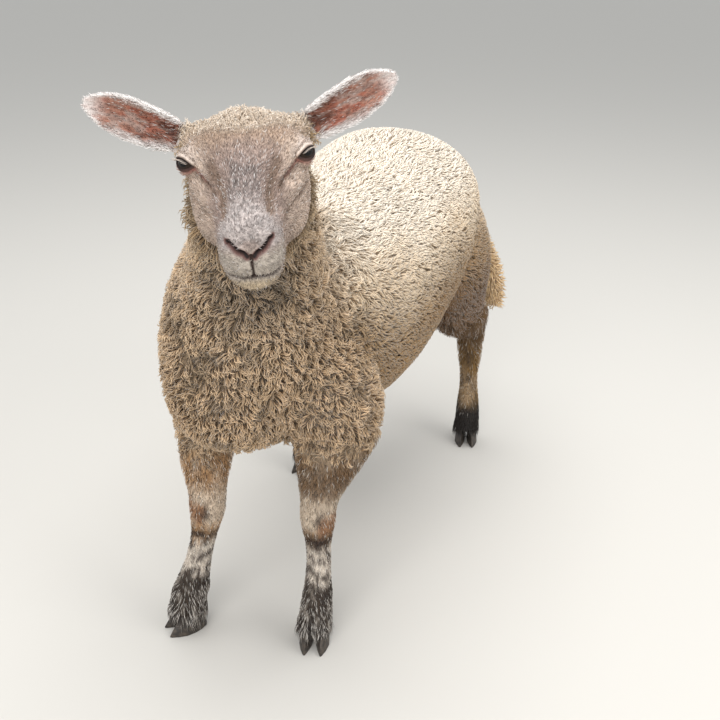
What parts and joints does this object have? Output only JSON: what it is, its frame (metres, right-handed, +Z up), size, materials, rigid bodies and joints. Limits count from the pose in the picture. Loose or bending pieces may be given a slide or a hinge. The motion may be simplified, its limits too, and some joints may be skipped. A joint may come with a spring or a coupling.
{
  "type": "shorn sheep",
  "caption": "Life-size shorn sheep standing on all four feet with its head turned to its left, coat, ears, eyes and cloven hooves modelled.",
  "frame": {"origin": "on the floor under the middle of the bounding box", "axes": "+Z up; the sheep faces -Y and its left side is at +X"},
  "size_m": [0.3566, 0.9848, 0.7921],
  "materials": {
    "wool": "short-shorn wool, matte, cream on the back and grey-beige on neck and breast",
    "face_hair": "short flat hair, matte, mottled grey and white",
    "ear_hair": "thin pink skin under short white hair",
    "leg_hair": "short hair, matte, mottled brown, grey and white",
    "hoof_horn": "dark horn, slightly satin",
    "eye": "wet dark brown"
  },
  "bodies": {
    "root": {"ear_left": "ear_hair", "ear_right": "ear_hair", "eye_left": "eye", "eye_right": "eye", "foreleg_left_lower": "leg_hair", "foreleg_left_upper": "leg_hair", "foreleg_right_lower": "leg_hair", "foreleg_right_upper": "leg_hair", "head": "face_hair", "hindleg_left_lower": "leg_hair", "hindleg_left_upper": "leg_hair", "hindleg_right_lower": "leg_hair", "hindleg_right_upper": "leg_hair", "hoof_fore_left_inner": "hoof_horn", "hoof_fore_left_outer": "hoof_horn", "hoof_fore_right_inner": "hoof_horn", "hoof_fore_right_outer": "hoof_horn", "hoof_hind_left_inner": "hoof_horn", "hoof_hind_left_outer": "hoof_horn", "hoof_hind_right_inner": "hoof_horn", "hoof_hind_right_outer": "hoof_horn", "neck": "wool", "tail": "wool", "trunk": "wool"}
  },
  "joints": []
}
